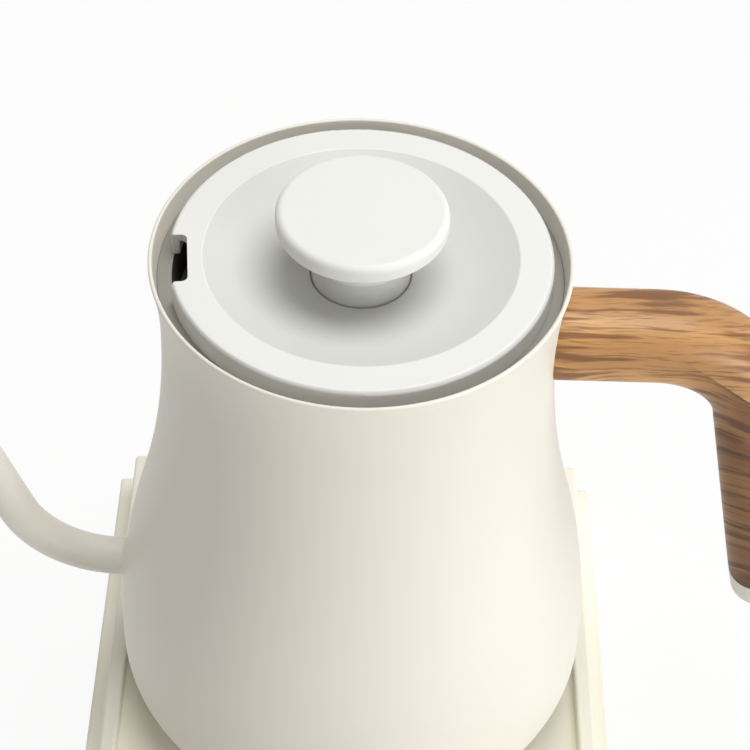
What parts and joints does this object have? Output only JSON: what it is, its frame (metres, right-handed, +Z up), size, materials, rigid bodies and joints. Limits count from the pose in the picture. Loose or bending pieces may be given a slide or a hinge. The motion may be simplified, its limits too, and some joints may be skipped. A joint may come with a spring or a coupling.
{
  "type": "gooseneck kettle",
  "caption": "Electric gooseneck kettle with a wooden side handle, a dished lid with a disc knob and a thin curved spout, standing on a stepped power base.",
  "frame": {"origin": "on the kettle's axis, at the level of the surface that the foot strip rests on", "axes": "+Z up, spout towards -X, handle towards +X, controls towards -Y"},
  "size_m": [0.2623, 0.1845, 0.1875],
  "materials": {
    "white_paint": "matte paint",
    "lid_plastic": "fine matte",
    "base_plastic": "fine matte",
    "cap_plastic": "fine matte",
    "handle_wood": "satin",
    "steel": "brushed",
    "zinc_screw": "zinc plated",
    "spreader_metal": "cast",
    "contact_metal": "plated",
    "black_plastic": "moulded",
    "terminal_plastic": "moulded",
    "board_laminate": "lacquered",
    "display_plastic": "polished",
    "soft_rubber": "matte",
    "foot_rubber": "matte"
  },
  "bodies": {
    "base": {"base_tray": "base_plastic", "base_top_cover": "base_plastic", "foot_strip": "foot_rubber", "base_screws": "zinc_screw", "base_connector": "black_plastic", "contact_rings": "contact_metal", "connector_screws": "zinc_screw", "power_board": "board_laminate", "relay": "black_plastic", "terminal_block": "terminal_plastic", "board_screws": "zinc_screw", "control_board": "board_laminate", "panel_screws": "zinc_screw", "display_module": "display_plastic", "display_window": "display_plastic", "tact_switches": "black_plastic", "cord_gland": "foot_rubber"},
    "kettle": {"body_shell": "white_paint", "rim_collar": "white_paint", "lid_seat_ring": "steel", "spout_tube": "white_paint", "handle_grip": "handle_wood", "handle_end_cap": "cap_plastic", "handle_bracket": "steel", "handle_screws": "zinc_screw", "boiler_plate": "steel", "heat_spreader": "spreader_metal", "heating_element": "steel", "thermal_cutout": "black_plastic", "probe_seal": "soft_rubber", "temperature_probe": "steel", "bottom_cover": "black_plastic", "bottom_studs": "steel", "bottom_screws": "zinc_screw", "kettle_connector": "black_plastic", "contact_blades": "contact_metal"},
    "lid": {"lid_cover": "lid_plastic", "lid_knob": "lid_plastic", "lid_inner_plate": "steel", "lid_friction_ring": "soft_rubber", "knob_washer": "zinc_screw", "knob_screw": "zinc_screw"},
    "power_button_body": {"power_button": "base_plastic"},
    "minus_button_body": {"minus_button": "base_plastic"},
    "plus_button_body": {"plus_button": "base_plastic"}
  },
  "joints": [
    {"name": "kettle_lift", "type": "slide", "parent": "base", "child": "kettle", "axis": [0, 0, 1], "range_m": [0, 0.1]},
    {"name": "lid_lift", "type": "slide", "parent": "kettle", "child": "lid", "axis": [0, 0, 1], "range_m": [0, 0.08]},
    {"name": "power_press", "type": "slide", "parent": "base", "child": "power_button_body", "axis": [0, 0, -1], "range_m": [0, 0.0008], "stiffness_N_per_m": 2000},
    {"name": "minus_press", "type": "slide", "parent": "base", "child": "minus_button_body", "axis": [0, 0, -1], "range_m": [0, 0.0008], "stiffness_N_per_m": 2000},
    {"name": "plus_press", "type": "slide", "parent": "base", "child": "plus_button_body", "axis": [0, 0, -1], "range_m": [0, 0.0008], "stiffness_N_per_m": 2000}
  ]
}
